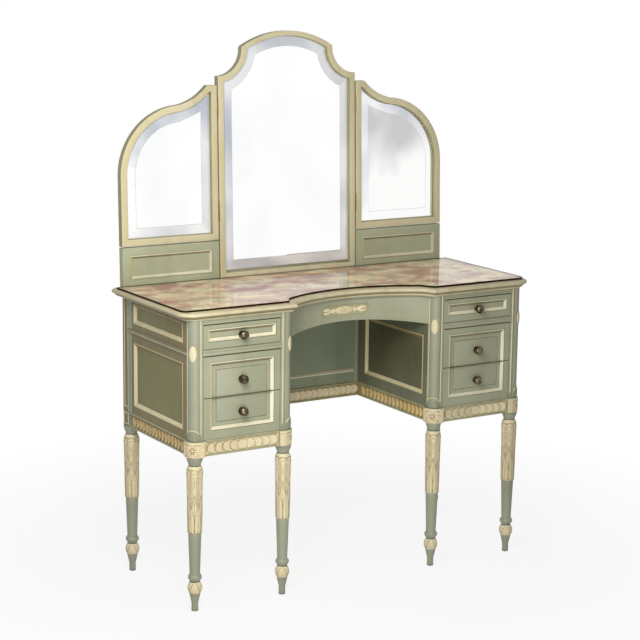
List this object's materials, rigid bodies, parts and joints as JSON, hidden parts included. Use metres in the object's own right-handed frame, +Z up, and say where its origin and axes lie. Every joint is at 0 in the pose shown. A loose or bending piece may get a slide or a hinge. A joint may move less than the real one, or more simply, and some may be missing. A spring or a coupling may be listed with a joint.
{
  "type": "kneehole dressing table with triptych mirror",
  "caption": "Antique-style painted kneehole dressing table in sage and cream, with a triple mirror, glass over brocade, small drawers and turned legs.",
  "frame": {"origin": "on the floor, under the middle of the whole piece's bounding box", "axes": "+Z up, +X to the right of a sitter who faces the mirror, +Y from the sitter towards the mirror; drawers open towards -Y"},
  "size_m": [1.047, 0.4506, 1.4051],
  "materials": {
    "sage_paint": "aged sage green paint over wood, satin",
    "cream_paint": "antique cream paint with ochre wear in the carving, satin",
    "drawer_wood": "plain waxed wood",
    "back_wood": "dark stained backing board, matt",
    "table_glass": "clear float glass with a ground edge",
    "mirror_glass": "silvered plate with a bevelled rim",
    "rose_cloth": "woven brocade in rose, cream and grey green",
    "hinge_brass": "aged brass",
    "knob_bronze": "dark bronzed brass",
    "glide_steel": "plain steel"
  },
  "bodies": {
    "case": {"apron": "sage_paint", "apron_ornament": "cream_paint", "batten_screws": "glide_steel", "case_panels": "sage_paint", "centre_backboard": "back_wood", "centre_frame": "cream_paint", "centre_mirror": "mirror_glass", "drawer_rails": "sage_paint", "drawer_runners": "drawer_wood", "fixed_hinge_leaves": "hinge_brass", "front_bands": "cream_paint", "glass_top": "table_glass", "inner_posts": "sage_paint", "kneehole_back": "sage_paint", "kneehole_bands": "cream_paint", "kneehole_sides": "sage_paint", "kneehole_stiles": "sage_paint", "leg_front_inner_left": "cream_paint", "leg_front_inner_right": "cream_paint", "leg_front_outer_left": "cream_paint", "leg_front_outer_right": "cream_paint", "leg_glides": "glide_steel", "leg_rear_left": "cream_paint", "leg_rear_right": "cream_paint", "mirror_battens": "back_wood", "outer_posts": "sage_paint", "pedestal_backs": "back_wood", "pedestal_floors": "drawer_wood", "plinth_panels": "cream_paint", "rear_posts": "sage_paint", "side_bands": "cream_paint", "side_frames": "sage_paint", "top_board": "cream_paint", "top_cloth": "rose_cloth"},
    "drawer_left_top": {"drawer_front_left_top": "sage_paint", "drawer_box_left_top": "drawer_wood", "drawer_knob_left_top": "knob_bronze"},
    "drawer_left_middle": {"drawer_front_left_middle": "sage_paint", "drawer_box_left_middle": "drawer_wood", "drawer_knob_left_middle": "knob_bronze"},
    "drawer_left_bottom": {"drawer_front_left_bottom": "sage_paint", "drawer_box_left_bottom": "drawer_wood", "drawer_knob_left_bottom": "knob_bronze"},
    "wing_left": {"wing_frame_left": "cream_paint", "wing_mirror_left": "mirror_glass", "wing_backboard_left": "back_wood", "wing_hinge_leaves_left": "hinge_brass"},
    "drawer_right_top": {"drawer_front_right_top": "sage_paint", "drawer_box_right_top": "drawer_wood", "drawer_knob_right_top": "knob_bronze"},
    "drawer_right_middle": {"drawer_front_right_middle": "sage_paint", "drawer_box_right_middle": "drawer_wood", "drawer_knob_right_middle": "knob_bronze"},
    "drawer_right_bottom": {"drawer_front_right_bottom": "sage_paint", "drawer_box_right_bottom": "drawer_wood", "drawer_knob_right_bottom": "knob_bronze"},
    "wing_right": {"wing_frame_right": "cream_paint", "wing_mirror_right": "mirror_glass", "wing_backboard_right": "back_wood", "wing_hinge_leaves_right": "hinge_brass"}
  },
  "joints": [
    {"name": "drawer_left_top_slide", "type": "slide", "parent": "case", "child": "drawer_left_top", "axis": [0, -1, 0], "range_m": [0, 0.26]},
    {"name": "drawer_left_middle_slide", "type": "slide", "parent": "case", "child": "drawer_left_middle", "axis": [0, -1, 0], "range_m": [0, 0.26]},
    {"name": "drawer_left_bottom_slide", "type": "slide", "parent": "case", "child": "drawer_left_bottom", "axis": [0, -1, 0], "range_m": [0, 0.26]},
    {"name": "wing_left_hinge", "type": "hinge", "parent": "case", "child": "wing_left", "pos_m": [-0.2127, 0.17103, 0.762], "axis": [0, 0.0328, 0.9995], "range_deg": [0, 110]},
    {"name": "drawer_right_top_slide", "type": "slide", "parent": "case", "child": "drawer_right_top", "axis": [0, -1, 0], "range_m": [0, 0.26]},
    {"name": "drawer_right_middle_slide", "type": "slide", "parent": "case", "child": "drawer_right_middle", "axis": [0, -1, 0], "range_m": [0, 0.26]},
    {"name": "drawer_right_bottom_slide", "type": "slide", "parent": "case", "child": "drawer_right_bottom", "axis": [0, -1, 0], "range_m": [0, 0.26]},
    {"name": "wing_right_hinge", "type": "hinge", "parent": "case", "child": "wing_right", "pos_m": [0.2127, 0.17103, 0.762], "axis": [0, -0.0328, -0.9995], "range_deg": [0, 110]}
  ]
}
